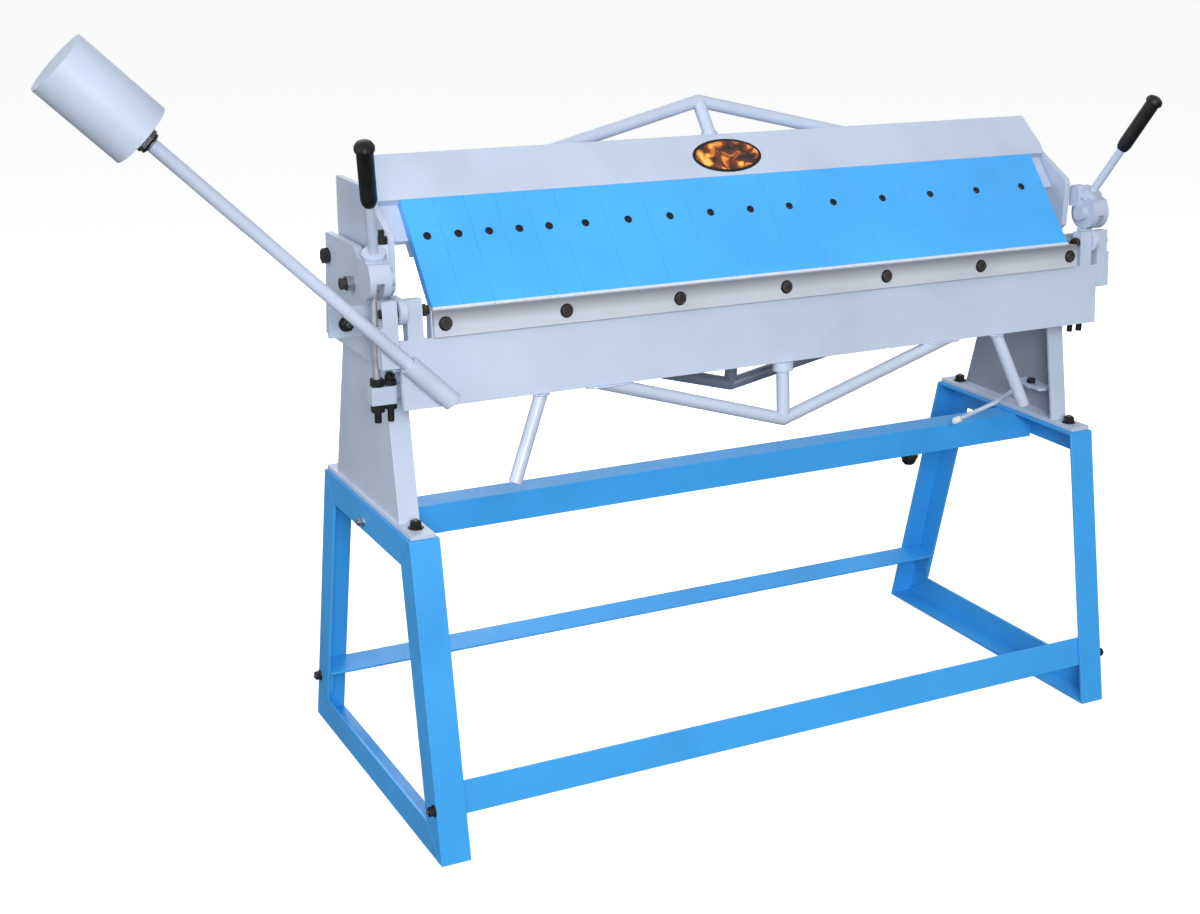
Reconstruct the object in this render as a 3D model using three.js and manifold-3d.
// Box-and-pan sheet metal brake on an angle-iron stand. Millimetres, +Z up, +X to the operator's right,
// the operator stands on the -Y side. The machine is modelled with X = 0 at its middle, Y = 0 at the
// front edge of the feet and Z = 0 on the floor, then moved so that the origin is under its middle.
import * as THREE from "three";
import { mergeVertices } from "three/addons/utils/BufferGeometryUtils.js";
import Module from "manifold-3d";

const wasm = await Module();
wasm.setup();

// ---- driving dimensions -------------------------------------------------------------------------

const GAP = 0.3; // between pieces that touch

// stand
const HALF_WIDTH = 675;
const STAND_HEIGHT = 505;
const FOOT_FRONT = 0;
const FOOT_REAR = 602;
const TOP_FRONT = 104;
const ANGLE = 50;
const ANGLE_T = 5;
const MITRE_GAP = 0.5;
const STRETCHER_HALF = HALF_WIDTH - ANGLE_T - GAP;
const UPPER_STRETCHER_Y = 262;
const FRONT_STRETCHER_Z = [72, 124];
const REAR_STRETCHER_Z = 119;
const REAR_STRETCHER_DROP = 30;
const REAR_STRETCHER_T = 4;
const END_TAB = 45;
const KNOB = { x: 395, y: 280 };

// side stands between the angle-iron stand and the bed
const BASE_PLATE = { x: [631, 671], y: [108, 495], z: [STAND_HEIGHT + GAP, STAND_HEIGHT + 8 + GAP] };
const SIDE_OUTER_X = 667;
const SIDE_T = 6;
const SIDE_FLANGE_X = 633;
const SIDE_FOOT_Y = [165, 455];
const SIDE_HEAD_Y = [215, 400];
const SIDE_HEAD_Z = 755;

// bed
const BED_TOP = 850;
const BED_FACE_Y = 145.3;
const BED_T = 16;
const BED_HALF = 617;
const BED_PLATE_BOTTOM = 722;
const BED_FLANGE = { half: 657.2, rear: 300, z: [756, 768] };
const BED_END_X = [657.5, 669];
const BED_TRUSS_APEX = { y: 289, z: 628 };
const BED_TRUSS_END = { x: 411, y: 178, z: 755.7 };

// apron hinge and apron
const HINGE = { y: 145, z: 852 };
const HINGE_PIN_R = 7;
const HINGE_BORE_R = 7.5;
const HINGE_PIN_X = [620, 697];
const APRON_LEAN = THREE.MathUtils.degToRad(5.9);
const APRON_HALF = 670.7;
const APRON_FACE = -8.3;
const APRON_BACK = -0.3;
const APRON_BOTTOM = -146.3;
const APRON_SHOULDER = -41.5;
const APRON_TOP = -1.5;
const LUG_TOP = 18.7;
const LUG_BACK = 12;
const INNER_LUG_X = [632, 657];
const OUTER_LUG_X = [671, 695, 699.5];
const OUTER_LUG_STEP = -20;
const OUTER_LUG_BOTTOM = -82;
const BAR_HALF = 618;
const BAR_T = 7.7;
const TUBE_R = 11;
const HANDLE_R = 10.5;
const HANDLE_TOP = { x: 444.8, y: -6.4 };
const HANDLE_FOOT = { x: 501, y: -17, z: -278.4 };
const APRON_TRUSS_END_X = 325;
const APRON_TRUSS_Z = -243;
const APRON_TRUSS_Y = -2;

// counterweight, in the plane of the apron
const ARM_Y = -23.5;
const ARM_START = { x: -663.9, z: -74.7 };
const ARM_ANGLE = THREE.MathUtils.degToRad(135.7);
const ARM_R = 10;
const SOCKET_R = 14.8;
const SOCKET_LENGTH = 90;
const SOCKET_DEPTH = 60;
const WEIGHT_AT = 500;
const WEIGHT_LENGTH = 140;
const WEIGHT_R = 48;
const WEIGHT_BORE_DEPTH = 45;

// clamp beam: section given along the slope (down from the top edge) and square to the front face
const SLOPE = THREE.MathUtils.degToRad(40.6);
const BEAM_FACE = 443;
const BEAM_SEAT = 427;
const BEAM_BACK = 415;
const BEAM_TOP_V = -1012.6;
const BEAM_BAND = 81.7;
const BEAM_FLARE = 60;
const BEAM_WIDTH = 143.8;
const BEAM_TOP_HALF = 632;
const BEAM_HALF = 646;
const END_PLATE_X = [646.3, 657];
const PIVOT = { y: 300, z: 867 };
const PIVOT_R = 10;
const PIVOT_BORE_R = 10.4;
const BEAM_TRUSS_APEX = { y: 428, z: 1099 };
const BEAM_TRUSS_END = { y: 387, z: 953 };
const POST_SEAT = { half: 16, y: 402, z: 1043, depth: 12 };

// fingers
const FINGER_WIDTHS = [
  ...Array(5).fill(50.8),
  ...Array(6).fill(76.2),
  ...Array(5).fill(101.6),
];
const FINGER_TOP = BEAM_BAND + GAP;
const FINGER_SOLE_Z = BED_TOP + GAP;

// pivot brackets and clamp levers
const BRACKET_X = [669.3, 681.3];
const BRACKET_WING = { x: 743, y: [237, 245], z: [799, 846] };
const LEVER = { y: 182, z: 897 };
const HUB_R = 30;
const HUB_X = [672, 706];
const HUB_SLOT_X = [683.7, 696.3];
const HUB_SHAFT_R = 9.3;
const EYE_R = 19;
const EYE_BORE_R = 9.7;
const LINK_X = 690;
const LINK_R = 5.5;
const LINK_BOTTOM = 676;
const ADJUSTER = { x: [662, 702], y: [173, 193], z: [705, 733] };
const STUD = { x: 669, y: 183, top: 752, r: 5 };
const COLLAR = { x: 688.4, y: 182.3, z: 931.5 };
const LEVER_TIP = { x: 731, y: 90.6, z: 1110.2 };
const LEVER_R = 7.5;
const GRIP_START = 95;
const GRIP_R = 12.4;
const CAP_R = 15;

// ---- colours ------------------------------------------------------------------------------------

const BLUE = { color: 0x2f9be8, roughness: 0.45, metalness: 0.1 };
const GREY = { color: 0xc3cedf, roughness: 0.5, metalness: 0.1 };
const FINGER_BLUE = { color: 0x45aefc, roughness: 0.4, metalness: 0.1 };
const STEEL = { color: 0x8d9096, roughness: 0.35, metalness: 0.9 };
const BLACK = { color: 0x1c1c1f, roughness: 0.5, metalness: 0 };
const BRONZE = { color: 0x8a6a48, roughness: 0.4, metalness: 0.8 };

// ---- helpers ------------------------------------------------------------------------------------

const machine = new THREE.Group();
const apronFrame = new THREE.Group();
apronFrame.position.set(0, HINGE.y, HINGE.z);
apronFrame.rotation.x = -APRON_LEAN;
machine.add(apronFrame);

function solid(geometry) {
  geometry.deleteAttribute("normal");
  geometry.deleteAttribute("uv");
  const merged = mergeVertices(geometry, 1e-4);
  return new wasm.Manifold(
    new wasm.Mesh({
      numProp: 3,
      vertProperties: merged.attributes.position.array,
      triVerts: new Uint32Array(merged.index.array),
    }),
  );
}

function add(name, made, look, group = machine) {
  const out = made.getMesh();
  const geometry = new THREE.BufferGeometry();
  geometry.setAttribute("position", new THREE.BufferAttribute(new Float32Array(out.vertProperties), 3));
  geometry.setIndex(new THREE.BufferAttribute(new Uint32Array(out.triVerts), 1));
  const flat = geometry.toNonIndexed();
  flat.computeVertexNormals();
  const mesh = new THREE.Mesh(flat, new THREE.MeshStandardMaterial(look));
  mesh.name = name;
  group.add(mesh);
}

function placed(geometry, xAxis, yAxis, zAxis, origin) {
  const matrix = new THREE.Matrix4().makeBasis(xAxis, yAxis, zAxis).setPosition(origin);
  return solid(geometry.applyMatrix4(matrix));
}

const X = new THREE.Vector3(1, 0, 0);
const Y = new THREE.Vector3(0, 1, 0);
const Z = new THREE.Vector3(0, 0, 1);

function extrusion(points, depth) {
  const shape = new THREE.Shape(points.map(([u, v]) => new THREE.Vector2(u, v)));
  return new THREE.ExtrudeGeometry(shape, { depth, bevelEnabled: false });
}

// a (y, z) outline carried from x0 to x1
function alongX(points, x0, x1) {
  return placed(extrusion(points, x1 - x0), Y, Z, X, new THREE.Vector3(x0, 0, 0));
}

// an (x, z) outline carried from y0 to y1
function alongY(points, y0, y1) {
  return placed(extrusion(points, y1 - y0), X, Z, Y.clone().negate(), new THREE.Vector3(0, y1, 0));
}

function box(x0, x1, y0, y1, z0, z1) {
  const geometry = new THREE.BoxGeometry(x1 - x0, y1 - y0, z1 - z0);
  geometry.translate((x0 + x1) / 2, (y0 + y1) / 2, (z0 + z1) / 2);
  return solid(geometry);
}

function rod(from, to, r, sides = 24, r2 = r) {
  const axis = new THREE.Vector3().subVectors(to, from);
  const length = axis.length();
  const geometry = new THREE.CylinderGeometry(r2, r, length, sides);
  geometry.translate(0, length / 2, 0);
  geometry.applyQuaternion(new THREE.Quaternion().setFromUnitVectors(Y, axis.normalize()));
  geometry.translate(from.x, from.y, from.z);
  return solid(geometry);
}

function ball(at, r, sides = 24) {
  const geometry = new THREE.SphereGeometry(r, sides, sides / 2);
  geometry.translate(at.x, at.y, at.z);
  return solid(geometry);
}

// a round bar along X between x0 and x1
function barX(x0, x1, y, z, r, sides = 32) {
  return rod(new THREE.Vector3(x0, y, z), new THREE.Vector3(x1, y, z), r, sides);
}

// a hexagonal prism along an axis, measured across its flats
function hexAt(from, to, flats) {
  return rod(from, to, flats / Math.sqrt(3), 6);
}

function mirrored(made) {
  return made.mirror([1, 0, 0]);
}

function pair(name, made, look, group = machine) {
  add(name + "_right", made, look, group);
  add(name + "_left", mirrored(made), look, group);
}

function vec(x, y, z) {
  return new THREE.Vector3(x, y, z);
}

// ---- stand --------------------------------------------------------------------------------------

const LEAN = (TOP_FRONT - FOOT_FRONT) / STAND_HEIGHT;
const UP = new THREE.Vector2(LEAN, 1).normalize();
const INWARD = new THREE.Vector2(UP.y, -UP.x);
const MIDDLE_Y = (FOOT_FRONT + FOOT_REAR) / 2;

// y of the front leg's outer line at height z, and of a line `inset` mm inside it
function frontLine(z, inset = 0) {
  return FOOT_FRONT + z * LEAN + inset / UP.y;
}

function rearward(points) {
  return points.map(([y, z]) => [2 * MIDDLE_Y - y, z]).reverse();
}

function frontLeg() {
  const side = [
    [frontLine(0), 0],
    [frontLine(ANGLE, ANGLE), ANGLE],
    [frontLine(STAND_HEIGHT - ANGLE, ANGLE), STAND_HEIGHT - ANGLE],
    [frontLine(STAND_HEIGHT), STAND_HEIGHT],
  ];
  const face = [
    [frontLine(0), 0],
    [frontLine(0, ANGLE_T), 0],
    [frontLine(STAND_HEIGHT, ANGLE_T), STAND_HEIGHT],
    [frontLine(STAND_HEIGHT), STAND_HEIGHT],
  ];
  return { side, face };
}

function leg(outline) {
  return alongX(outline.side, HALF_WIDTH - ANGLE_T, HALF_WIDTH).add(
    alongX(outline.face, HALF_WIDTH - ANGLE, HALF_WIDTH),
  );
}

function legs() {
  const front = frontLeg();
  pair("leg_front", leg(front), BLUE);
  pair("leg_rear", leg({ side: rearward(front.side), face: rearward(front.face) }), BLUE);
}

// the front end of a rail's side flange, from its outer edge past the leg's face
// to the mitre's inner end
function mitredEdge(edge, face, inner) {
  return [
    [frontLine(edge, ANGLE_T) + MITRE_GAP, edge],
    [frontLine(face, ANGLE_T) + MITRE_GAP, face],
    [frontLine(inner, ANGLE) + MITRE_GAP, inner],
  ];
}

function rails() {
  const bottomFront = mitredEdge(0, ANGLE_T, ANGLE);
  const bottomSide = [...bottomFront, ...rearward(bottomFront)];
  const flangeStart = frontLine(ANGLE_T, ANGLE_T) + 1;
  const bottom = alongX(bottomSide, HALF_WIDTH - ANGLE_T, HALF_WIDTH).add(
    box(HALF_WIDTH - ANGLE, HALF_WIDTH, flangeStart, 2 * MIDDLE_Y - flangeStart, 0, ANGLE_T),
  );
  pair("rail_bottom", bottom, BLUE);

  const topFront = mitredEdge(STAND_HEIGHT, STAND_HEIGHT - ANGLE_T, STAND_HEIGHT - ANGLE);
  const topSide = [...topFront, ...rearward(topFront)];
  const topStart = frontLine(STAND_HEIGHT, ANGLE_T) + GAP;
  const top = alongX(topSide, HALF_WIDTH - ANGLE_T, HALF_WIDTH).add(
    box(
      HALF_WIDTH - ANGLE,
      HALF_WIDTH,
      topStart,
      2 * MIDDLE_Y - topStart,
      STAND_HEIGHT - ANGLE_T,
      STAND_HEIGHT,
    ),
  );
  pair("rail_top", top, BLUE);
}

function upperStretcher() {
  const top = STAND_HEIGHT - ANGLE_T - GAP;
  const y = UPPER_STRETCHER_Y;
  const half = STRETCHER_HALF;
  let made = box(-half, half, y, y + ANGLE_T, top - ANGLE, top);
  made = made.add(box(-half, half, y, y + ANGLE, top - ANGLE_T, top));
  for (const x of [-half, half - ANGLE_T]) {
    made = made.add(box(x, x + ANGLE_T, y, y + ANGLE, top - ANGLE, top));
  }
  add("stretcher_upper", made, BLUE);
}

// the outline of a plate with square corners that leans with the legs
function leaningPlate(corner, along, across, length, width) {
  const at = (a, b) => [corner.x + a * along.x + b * across.x, corner.y + a * along.y + b * across.y];
  return [at(0, 0), at(0, width), at(length, width), at(length, 0)];
}

// an angle bar across the stand that leans with the legs, with a plate closing each end
function leaningStretcher(corner, along, across, length, width, thickness) {
  const half = STRETCHER_HALF;
  let made = alongX(leaningPlate(corner, along, across, length, thickness), -half, half);
  made = made.add(alongX(leaningPlate(corner, along, across, thickness, width), -half, half));
  for (const x of [-half, half - ANGLE_T]) {
    made = made.add(alongX(leaningPlate(corner, along, across, END_TAB, END_TAB), x, x + ANGLE_T));
  }
  return made;
}

function frontStretcher() {
  const [low, high] = FRONT_STRETCHER_Z;
  const corner = new THREE.Vector2(frontLine(low, ANGLE_T + GAP), low);
  const tall = (high - low) / UP.y;
  add("stretcher_front", leaningStretcher(corner, UP, INWARD, tall, ANGLE, ANGLE_T), BLUE);
}

function rearStretcher() {
  const z = REAR_STRETCHER_Z;
  const corner = new THREE.Vector2(2 * MIDDLE_Y - frontLine(z, ANGLE_T + GAP), z);
  const down = new THREE.Vector2(UP.x, -UP.y);
  const ahead = new THREE.Vector2(-INWARD.x, INWARD.y);
  const made = leaningStretcher(corner, down, ahead, REAR_STRETCHER_DROP, ANGLE, REAR_STRETCHER_T);
  add("stretcher_rear", made, BLUE);
}

function knob() {
  const profile = [
    [0, 425],
    [8, 426.5],
    [12.5, 431],
    [14, 438],
    [14, 440],
    [16.5, 440],
    [16.5, 446],
    [5, 446],
    [5, 494.4],
    [0, 494.4],
  ].map(([r, h]) => new THREE.Vector2(r, h));
  const geometry = new THREE.LatheGeometry(profile, 20);
  geometry.rotateX(Math.PI / 2);
  geometry.translate(KNOB.x, KNOB.y, 0);
  add("stretcher_knob", solid(geometry), BLACK);
}

// ---- side stands and bed ------------------------------------------------------------------------

function sideStands() {
  const [foot0, foot1] = SIDE_FOOT_Y;
  const [head0, head1] = SIDE_HEAD_Y;
  const low = BASE_PLATE.z[1] - 3;
  const plate = [
    [foot0, low],
    [foot1, low],
    [head1, SIDE_HEAD_Z],
    [head0, SIDE_HEAD_Z],
  ];
  const flange = [
    [foot0, low],
    [foot0 + SIDE_T, low],
    [head0 + SIDE_T, SIDE_HEAD_Z],
    [head0, SIDE_HEAD_Z],
  ];
  const made = box(...BASE_PLATE.x, ...BASE_PLATE.y, ...BASE_PLATE.z)
    .add(alongX(plate, SIDE_OUTER_X - SIDE_T, SIDE_OUTER_X))
    .add(alongX(flange, SIDE_FLANGE_X, SIDE_OUTER_X));
  pair("side_stand", made, GREY);
}

function bed() {
  const made = box(-BED_HALF, BED_HALF, BED_FACE_Y, BED_FACE_Y + BED_T, BED_PLATE_BOTTOM, BED_TOP).add(
    box(-BED_FLANGE.half, BED_FLANGE.half, BED_FACE_Y + BED_T - 1, BED_FLANGE.rear, ...BED_FLANGE.z),
  );
  add("bed", made, GREY);
}

function bedEndPlates() {
  const outline = [
    [166, 755.3],
    [400, 755.3],
    [400, 800],
    [380, 846],
    [178, 846],
    [178, 871],
    [145, 871],
    [145, 833],
    [176, 833],
  ];
  let made = alongX(outline, ...BED_END_X);
  made = made.add(barX(...BED_END_X, HINGE.y, HINGE.z, 19));
  made = made.subtract(barX(BED_END_X[0] - 5, BED_END_X[1] + 5, HINGE.y, HINGE.z, HINGE_PIN_R + GAP));
  pair("bed_end_plate", made, GREY);
}

function hingePins() {
  pair("hinge_pin", barX(...HINGE_PIN_X, HINGE.y, HINGE.z, HINGE_PIN_R), BRONZE);
}

// a bent round truss: two arms that meet in an apex on the middle plane, and a post
function truss(end, apex, postFoot) {
  const tip = vec(0, apex.y, apex.z);
  const right = rod(tip, end, TUBE_R);
  return right.add(mirrored(right)).add(ball(tip, TUBE_R)).add(rod(postFoot, tip, TUBE_R));
}

// the point reached by going on past `end` by `share` of the way from `start`
function beyond(start, end, share) {
  return end.clone().addScaledVector(end.clone().sub(start), share);
}

function bedTruss() {
  const under = BED_FLANGE.z[0] - GAP;
  const { x, y, z } = BED_TRUSS_END;
  const apex = vec(0, BED_TRUSS_APEX.y, BED_TRUSS_APEX.z);
  const post = vec(0, BED_TRUSS_APEX.y - 4, under);
  const blank = truss(beyond(apex, vec(x, y, z), 0.15), apex, post);
  add("bed_truss", blank.subtract(box(-700, 700, 100, 400, under, 900)), GREY);
}

// ---- pivot brackets -----------------------------------------------------------------------------

function pivotBrackets() {
  const plate = [
    [424, 925],
    [290, 925],
    [256, 885],
    [252, 852],
    [237, 846],
    [237, 757],
    [440, 757],
  ];
  const wing = BRACKET_WING;
  const outside = BRACKET_X[1] - 1;
  let made = alongX(plate, ...BRACKET_X);
  made = made.add(box(BRACKET_X[0] + 1, wing.x, ...wing.y, ...wing.z));
  made = made.add(barX(END_PLATE_X[0] - 1.3, outside, PIVOT.y, PIVOT.z, PIVOT_R));
  made = made.add(barX(outside, 693, PIVOT.y, PIVOT.z, 11.5));
  made = made.add(barX(692, 702, PIVOT.y, PIVOT.z, 9.2));
  made = made.add(hexAt(vec(outside, 412, 889), vec(outside + 12, 412, 889), 22));
  pair("pivot_bracket", made, GREY);
}

// ---- clamp levers -------------------------------------------------------------------------------

function adjusters() {
  const [low, high] = ADJUSTER.z;
  const at = (z) => vec(STUD.x, STUD.y, z);
  const through = rod(vec(LINK_X, LEVER.y, low - 5), vec(LINK_X, LEVER.y, high + 5), LINK_R + GAP, 16);
  let made = box(...ADJUSTER.x, ...ADJUSTER.y, low, high).subtract(through);
  made = made.add(box(640, 667, ADJUSTER.y[1] - 3, 204.4, low + 3, high - 3));
  made = made.add(rod(at(LINK_BOTTOM), at(STUD.top), STUD.r, 16));
  made = made.add(hexAt(at(high - 1), at(high + 8), 17)).add(hexAt(at(low - 9), at(low + 1), 17));
  pair("adjuster_block", made, GREY);
}

function linkRods() {
  const [low, high] = ADJUSTER.z;
  const at = (z) => vec(LINK_X, LEVER.y, z);
  let made = rod(at(LINK_BOTTOM), at(LEVER.z - 10), LINK_R, 16);
  made = made.add(barX(HUB_SLOT_X[0] + 0.5, HUB_SLOT_X[1] - 0.5, LEVER.y, LEVER.z, EYE_R));
  made = made.subtract(barX(HUB_X[0], HUB_X[1], LEVER.y, LEVER.z, EYE_BORE_R));
  made = made.add(hexAt(at(high + GAP), at(high + 12), 19)).add(hexAt(at(low - 12), at(low - GAP), 19));
  pair("link_rod", made, STEEL);
}

const LEVER_START = vec(COLLAR.x, COLLAR.y, COLLAR.z);
const LEVER_DIR = vec(LEVER_TIP.x, LEVER_TIP.y, LEVER_TIP.z).sub(LEVER_START).normalize();

function onLever(distance) {
  return LEVER_START.clone().addScaledVector(LEVER_DIR, distance);
}

// the hub, its lug and the lever; the left one also carries a stop stud on its lug
function clampLever() {
  const { y, z } = LEVER;
  const boss = [
    [y - 26, z],
    [y + HUB_R - 1, z],
    [y + 20, z + 29],
    [y - 22, z + 25],
  ];
  const lug = [
    [y + 4, z + 10],
    [y + 28, z + 10],
    [y + 30, z + 40],
    [y + 26, z + 47],
    [y + 10, z + 47],
    [y + 6, z + 36],
  ];
  const open = [
    [y - 40, z - 40],
    [y + 40, z - 40],
    [y + 40, z - 2],
    [y - 40, z - 2],
  ];
  const slot = barX(...HUB_SLOT_X, y, z, EYE_R + 1).add(alongX(open, ...HUB_SLOT_X));
  let made = barX(...HUB_X, y, z, HUB_R, 40).add(alongX(boss, ...HUB_X)).add(alongX(lug, 662, 684));
  made = made.add(rod(onLever(-12), onLever(6), 18, 32)).subtract(slot);
  made = made.add(barX(HUB_X[0] + 1, HUB_X[1] - 1, y, z, HUB_SHAFT_R));
  made = made.add(barX(660, HUB_X[0] + 1, y, z, 13));
  made = made.add(rod(onLever(0), onLever(GRIP_START + 30), LEVER_R, 20));
  return made;
}

function clampLevers() {
  const top = LEVER.z + 46;
  const stud = rod(vec(669, 202, top - 1), vec(669, 202, top + 22), 4.5, 12);
  const nut = hexAt(vec(669, 202, top), vec(669, 202, top + 12), 15);
  add("clamp_lever_right", clampLever(), GREY);
  add("clamp_lever_left", mirrored(clampLever().add(stud).add(nut)), GREY);
}

function grips() {
  const end = onLever(0).distanceTo(vec(LEVER_TIP.x, LEVER_TIP.y, LEVER_TIP.z)) - GRIP_START;
  const bore = LEVER_R + GAP;
  const profile = [
    [bore, 0],
    [9, 0],
    [GRIP_R - 1.4, 4],
    [GRIP_R, 11],
    [GRIP_R, end - 14],
    [CAP_R, end - 12.5],
    [CAP_R, end - 8],
    [CAP_R - 2.5, end - 3.5],
    [CAP_R - 8, end - 0.8],
    [0, end],
    [0, 31],
    [bore, 31],
    [bore, 0],
  ].map(([r, h]) => new THREE.Vector2(r, h));
  const geometry = new THREE.LatheGeometry(profile, 28);
  geometry.applyQuaternion(new THREE.Quaternion().setFromUnitVectors(Y, LEVER_DIR));
  const start = onLever(GRIP_START);
  geometry.translate(start.x, start.y, start.z);
  pair("lever_grip", solid(geometry), BLACK);
}

// ---- clamp beam ---------------------------------------------------------------------------------

const DOWN_SLOPE = [-Math.sin(SLOPE), -Math.cos(SLOPE)];
const OUT = [-Math.cos(SLOPE), Math.sin(SLOPE)];

// (y, z) of a point `s` mm down the slope on the plane `offset` mm out along the face normal
function onSlope(s, offset) {
  const v = BEAM_TOP_V + s;
  return [offset * OUT[0] + v * DOWN_SLOPE[0], offset * OUT[1] + v * DOWN_SLOPE[1]];
}

function clampBeam() {
  const section = [
    onSlope(0, BEAM_FACE),
    onSlope(BEAM_BAND, BEAM_FACE),
    onSlope(BEAM_BAND, BEAM_SEAT),
    onSlope(BEAM_WIDTH, BEAM_SEAT),
    onSlope(BEAM_WIDTH, BEAM_BACK),
    onSlope(0, BEAM_BACK),
  ];
  const outline = [
    [-BEAM_TOP_HALF, -10],
    [BEAM_TOP_HALF, -10],
    [BEAM_TOP_HALF, 0],
    [BEAM_HALF, BEAM_FLARE],
    [BEAM_HALF, BEAM_WIDTH + 10],
    [-BEAM_HALF, BEAM_WIDTH + 10],
    [-BEAM_HALF, BEAM_FLARE],
    [-BEAM_TOP_HALF, 0],
  ];
  const origin = onSlope(0, BEAM_FACE + 10);
  const plan = placed(
    extrusion(outline, 200),
    X,
    vec(0, DOWN_SLOPE[0], DOWN_SLOPE[1]),
    vec(0, -OUT[0], -OUT[1]),
    vec(0, origin[0], origin[1]),
  );
  const seat = POST_SEAT;
  const gusset = [
    onSlope(2, BEAM_BACK + 4),
    [348, seat.z],
    [seat.y, seat.z],
    [seat.y, seat.z - seat.depth],
    onSlope(70, BEAM_BACK + 4),
  ];
  const plate = alongX(section, -BEAM_HALF, BEAM_HALF).intersect(plan);
  add("clamp_beam", plate.add(alongX(gusset, -seat.half, seat.half)), GREY);
}

function beamEndPlates() {
  const outline = [
    [433, 1011.5],
    [316, 1011.5],
    [209, 955],
    [205, 947],
    [205, 872],
    [232, 850],
    [262, 841],
    [340, 846],
    [433, 862],
  ];
  const bore = barX(END_PLATE_X[0] - 5, END_PLATE_X[1] + 5, PIVOT.y, PIVOT.z, PIVOT_BORE_R);
  pair("beam_end_plate", alongX(outline, ...END_PLATE_X).subtract(bore), GREY);
}

function beamTruss() {
  const apex = vec(0, BEAM_TRUSS_APEX.y, BEAM_TRUSS_APEX.z);
  const end = vec(BEAM_HALF, BEAM_TRUSS_END.y, BEAM_TRUSS_END.z);
  const foot = vec(0, 385, POST_SEAT.z + 4);
  const seat = POST_SEAT.z + GAP;
  const far = BEAM_HALF + 100;
  let made = truss(beyond(apex, end, 0.05), apex, beyond(apex, foot, 0.3));
  made = made.subtract(box(-40, 40, 300, 450, seat - 60, seat));
  made = made.subtract(box(BEAM_HALF, far, 300, 500, 900, 1100));
  made = made.subtract(box(-far, -BEAM_HALF, 300, 500, 900, 1100));
  made = made.add(rod(vec(0, 386, seat), vec(0, 386, seat + 9), 16, 24, 13));
  add("beam_truss", made, GREY);
}

function fingers() {
  const atSole = (offset) => [(FINGER_SOLE_Z * OUT[1] - offset) / -OUT[0], FINGER_SOLE_Z];
  const section = [
    onSlope(FINGER_TOP, BEAM_FACE),
    atSole(BEAM_FACE),
    atSole(BEAM_SEAT + GAP),
    onSlope(FINGER_TOP, BEAM_SEAT + GAP),
  ];
  const total = FINGER_WIDTHS.reduce((sum, w) => sum + w, 0) + GAP * (FINGER_WIDTHS.length - 1);
  let x = -total / 2;
  FINGER_WIDTHS.forEach((width, i) => {
    const name = "finger_" + String(i + 1).padStart(2, "0");
    add(name, alongX(section, x, x + width), FINGER_BLUE);
    x += width + GAP;
  });
}

// ---- apron, in the frame of its hinge -----------------------------------------------------------

function apron() {
  const inner = INNER_LUG_X;
  const outline = [
    [-APRON_HALF, APRON_BOTTOM],
    [APRON_HALF, APRON_BOTTOM],
    [APRON_HALF, APRON_SHOULDER],
    [BAR_HALF + 1.5, APRON_SHOULDER],
    [BAR_HALF + 1.5, APRON_TOP],
    [-BAR_HALF - 1.5, APRON_TOP],
    [-BAR_HALF - 1.5, APRON_SHOULDER],
    [-APRON_HALF, APRON_SHOULDER],
  ];
  let made = alongY(outline, APRON_FACE, APRON_BACK);
  for (const x of [inner[0], -inner[1]]) {
    made = made.add(box(x, x + inner[1] - inner[0], APRON_FACE, LUG_BACK, APRON_SHOULDER - 3, LUG_TOP));
    made = made.subtract(barX(x - 5, x + inner[1] - inner[0] + 5, 0, 0, HINGE_BORE_R));
  }
  add("apron", made, GREY, apronFrame);
}

function outerLugs() {
  const [start, narrow, wide] = OUTER_LUG_X;
  let made = box(start, narrow, APRON_FACE, LUG_BACK, OUTER_LUG_BOTTOM, LUG_TOP);
  made = made.add(box(start, wide, APRON_FACE, LUG_BACK, OUTER_LUG_BOTTOM, OUTER_LUG_STEP));
  made = made.subtract(barX(start - 5, wide + 5, 0, 0, HINGE_BORE_R));
  pair("apron_outer_lug", made, GREY, apronFrame);
}

function bendingBar() {
  const face = APRON_FACE - GAP;
  const made = box(-BAR_HALF, BAR_HALF, face - BAR_T, face, APRON_SHOULDER + 0.2, APRON_TOP);
  add("bending_bar", made, GREY, apronFrame);
}

function apronTruss() {
  const under = APRON_BOTTOM - GAP;
  const apex = vec(0, APRON_TRUSS_Y, APRON_TRUSS_Z);
  const foot = vec(0, APRON_TRUSS_Y, under);
  let made = truss(beyond(apex, vec(APRON_TRUSS_END_X, APRON_TRUSS_Y, under), 0.15), apex, foot);
  made = made.add(rod(vec(0, APRON_TRUSS_Y, under - 14), foot, 17.5, 24));
  made = made.subtract(box(-700, 700, -100, 100, under, 100));
  add("apron_truss", made, GREY, apronFrame);
}

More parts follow.
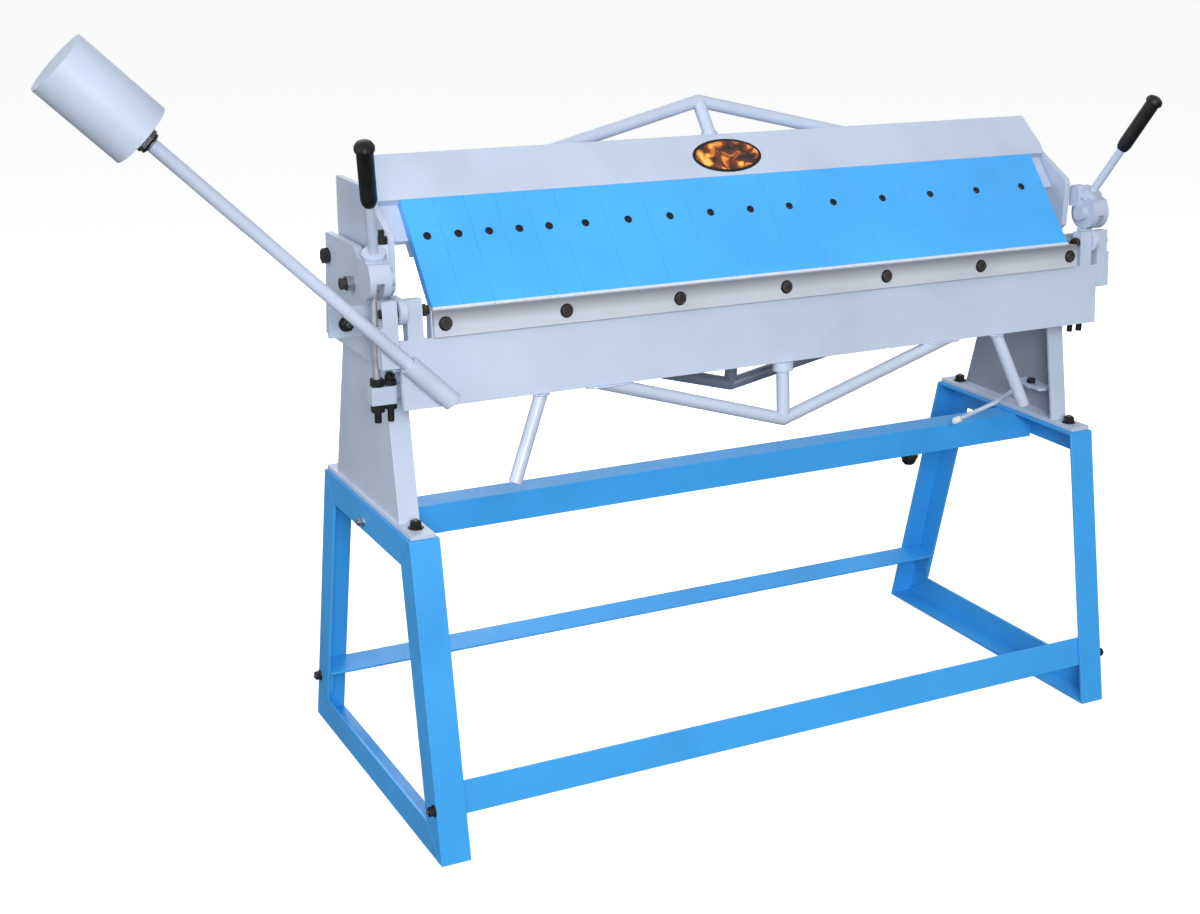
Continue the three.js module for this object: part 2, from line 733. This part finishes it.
function handles() {
  const under = APRON_BOTTOM - GAP;
  const foot = vec(HANDLE_FOOT.x, HANDLE_FOOT.y, HANDLE_FOOT.z);
  const head = vec(HANDLE_TOP.x, HANDLE_TOP.y, under);
  const above = head.clone().addScaledVector(head.clone().sub(foot).normalize(), 12);
  const made = rod(foot, above, HANDLE_R).subtract(box(300, 600, -100, 100, under, 100));
  pair("apron_handle", made, GREY, apronFrame);
}

function armPoint(distance) {
  return vec(
    ARM_START.x + distance * Math.cos(ARM_ANGLE),
    ARM_Y,
    ARM_START.z + distance * Math.sin(ARM_ANGLE),
  );
}

function counterweight() {
  const bore = ARM_R + GAP;
  const socket = rod(armPoint(-SOCKET_LENGTH), armPoint(0), SOCKET_R, 28).subtract(
    rod(armPoint(-SOCKET_DEPTH), armPoint(5), bore, 28),
  );
  add("counterweight_socket", socket, GREY, apronFrame);
  const inWeight = WEIGHT_AT + WEIGHT_BORE_DEPTH - GAP;
  const arm = rod(armPoint(-SOCKET_DEPTH + GAP), armPoint(inWeight), ARM_R);
  add("counterweight_rod", arm, GREY, apronFrame);
  const weight = rod(armPoint(WEIGHT_AT), armPoint(WEIGHT_AT + WEIGHT_LENGTH), WEIGHT_R, 48).subtract(
    rod(armPoint(WEIGHT_AT - 5), armPoint(WEIGHT_AT + WEIGHT_BORE_DEPTH), bore, 28),
  );
  add("counterweight", weight, GREY, apronFrame);
}

// ---- assembly -----------------------------------------------------------------------------------

legs();
rails();
upperStretcher();
frontStretcher();
rearStretcher();
knob();
sideStands();
bed();
bedEndPlates();
hingePins();
bedTruss();
pivotBrackets();
adjusters();
linkRods();
clampLevers();
grips();
clampBeam();
beamEndPlates();
beamTruss();
fingers();
apron();
outerLugs();
bendingBar();
apronTruss();
handles();
counterweight();

const part = new THREE.Group();
part.add(machine);
part.updateMatrixWorld(true);
const bounds = new THREE.Box3().setFromObject(machine, true);
const middle = bounds.getCenter(new THREE.Vector3());
machine.position.set(-middle.x, -middle.y, -bounds.min.z);

export default part;
